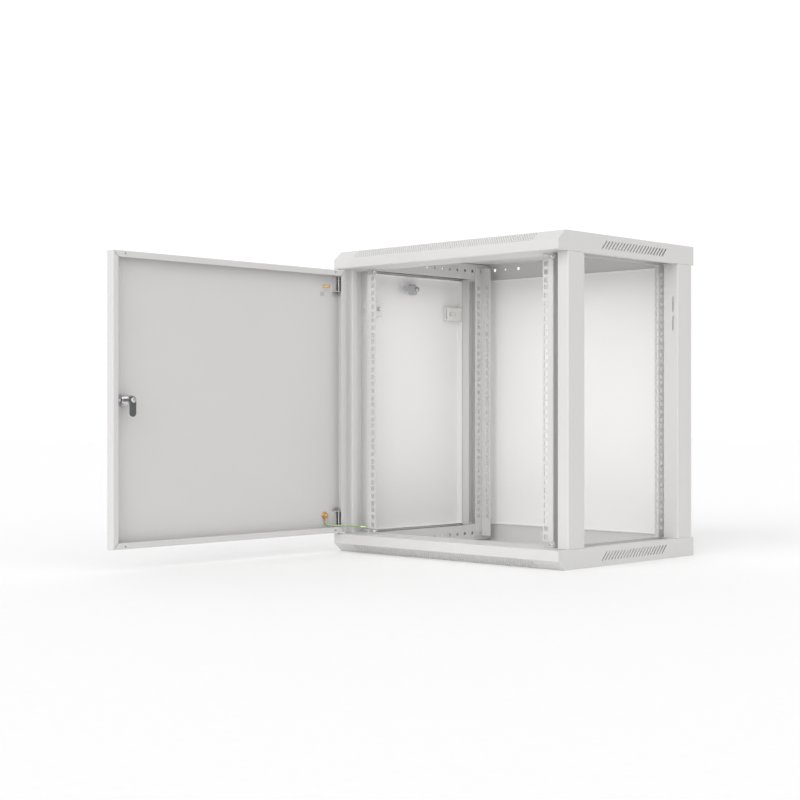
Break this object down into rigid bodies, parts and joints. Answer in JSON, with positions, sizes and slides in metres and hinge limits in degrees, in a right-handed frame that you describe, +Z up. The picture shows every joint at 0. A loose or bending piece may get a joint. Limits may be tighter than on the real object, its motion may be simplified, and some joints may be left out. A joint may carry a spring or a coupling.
{
  "type": "network server rack cabinet",
  "caption": "Wall-mounted 19-inch cabinet of folded sheet steel with a solid hinged door standing open, perforated rails inside, a latched side panel and vent slots.",
  "frame": {"origin": "centre of the base's 600 by 450 mm outline, on the surface the cabinet stands on", "axes": "+X to the cabinet's right as one faces it, -Y out of its front, +Z up"},
  "size_m": [0.6028, 1.033, 0.635],
  "materials": {
    "powder_coat": "light grey fine-texture powder coat, satin",
    "panel_coat": "light grey fine-texture powder coat, satin",
    "zinc": "bright zinc plate",
    "lock_chrome": "bright nickel on die-cast zinc",
    "cam_steel": "dull zinc-plated pressed steel",
    "hinge_steel": "drawn steel, semi-bright",
    "brass": "turned brass",
    "copper": "copper ring terminal",
    "white_plastic": "moulded light grey nylon",
    "lead_sheath": "green PVC sheath",
    "lead_stripe": "yellow stripe of the PVC sheath",
    "label_grey": "plain grey sticker"
  },
  "bodies": {
    "cabinet": {"top_frame": "powder_coat", "bottom_frame": "powder_coat", "front_left_post": "powder_coat", "front_right_post": "powder_coat", "rear_left_post": "powder_coat", "rear_right_post": "powder_coat", "front_left_rail": "powder_coat", "front_right_rail": "powder_coat", "rear_left_rail": "powder_coat", "rear_right_rail": "powder_coat", "upper_left_bracket": "powder_coat", "upper_right_bracket": "powder_coat", "lower_left_bracket": "powder_coat", "lower_right_bracket": "powder_coat", "fan_cover_left": "powder_coat", "fan_cover_right": "powder_coat", "top_cable_cover": "powder_coat", "bottom_cable_cover": "powder_coat", "back_panel": "panel_coat", "front_left_bolt_upper": "zinc", "front_left_bolt_lower": "zinc", "front_right_bolt_upper": "zinc", "front_right_bolt_lower": "zinc", "rear_left_bolt_upper": "zinc", "rear_left_bolt_lower": "zinc", "rear_right_bolt_upper": "zinc", "rear_right_bolt_lower": "zinc", "frame_earth_stud": "brass", "frame_earth_nut": "brass", "frame_ring_terminal": "copper", "earth_lead": "lead_sheath"},
    "door": {"door_panel": "powder_coat", "upper_hinge_bracket": "powder_coat", "lower_hinge_bracket": "powder_coat", "upper_hinge_spring": "hinge_steel", "lower_hinge_spring": "hinge_steel", "upper_earth_stud": "brass", "lower_earth_stud": "brass", "lower_earth_nut": "brass", "door_ring_terminal": "copper", "door_lock_body": "lock_chrome", "door_lock_nut": "lock_chrome"},
    "door_lock": {"door_lock_plug": "lock_chrome", "door_lock_cam": "cam_steel", "door_lock_screw": "lock_chrome"},
    "upper_pin": {"upper_hinge_pin": "hinge_steel", "upper_pin_handle": "hinge_steel"},
    "lower_pin": {"lower_hinge_pin": "hinge_steel", "lower_pin_handle": "hinge_steel"},
    "side_panel": {"left_side_panel": "panel_coat", "front_latch_housing": "white_plastic", "rear_latch_housing": "white_plastic", "side_lock_body": "lock_chrome", "side_lock_nut": "lock_chrome"},
    "side_lock": {"side_lock_plug": "lock_chrome", "side_lock_cam": "zinc", "side_lock_screw": "lock_chrome"},
    "front_latch_slide": {"front_latch": "white_plastic"},
    "rear_latch_slide": {"rear_latch": "white_plastic"}
  },
  "joints": [
    {"name": "door_hinge", "type": "hinge", "parent": "cabinet", "child": "door", "pos_m": [-0.2915, -0.2195, 0.3175], "axis": [0, 0, -1], "range_deg": [-90, 90], "deforming": ["earth_lead"]},
    {"name": "door_lock_turn", "type": "hinge", "parent": "door", "child": "door_lock", "pos_m": [-0.2915, -0.774, 0.3175], "axis": [1, 0, 0], "range_deg": [-90, 0]},
    {"name": "upper_pin_slide", "type": "slide", "parent": "door", "child": "upper_pin", "axis": [0, 0, -1], "range_m": [0, 0.008], "stiffness_N_per_m": 300, "springref_m": -0.006, "deforming": ["upper_hinge_spring"]},
    {"name": "lower_pin_slide", "type": "slide", "parent": "door", "child": "lower_pin", "axis": [0, 0, 1], "range_m": [0, 0.008], "stiffness_N_per_m": 300, "springref_m": -0.006, "deforming": ["lower_hinge_spring"]},
    {"name": "side_panel_tilt", "type": "hinge", "parent": "cabinet", "child": "side_panel", "pos_m": [-0.3, 0.012, 0.0395], "axis": [0, -1, 0], "range_deg": [0, 30]},
    {"name": "side_lock_turn", "type": "hinge", "parent": "side_panel", "child": "side_lock", "pos_m": [-0.3, 0.012, 0.567], "axis": [1, 0, 0], "range_deg": [-90, 0]},
    {"name": "front_latch_slide", "type": "slide", "parent": "side_panel", "child": "front_latch_slide", "axis": [0, 1, 0], "range_m": [-0.012, 0]},
    {"name": "rear_latch_slide", "type": "slide", "parent": "side_panel", "child": "rear_latch_slide", "axis": [0, -1, 0], "range_m": [-0.012, 0]}
  ]
}
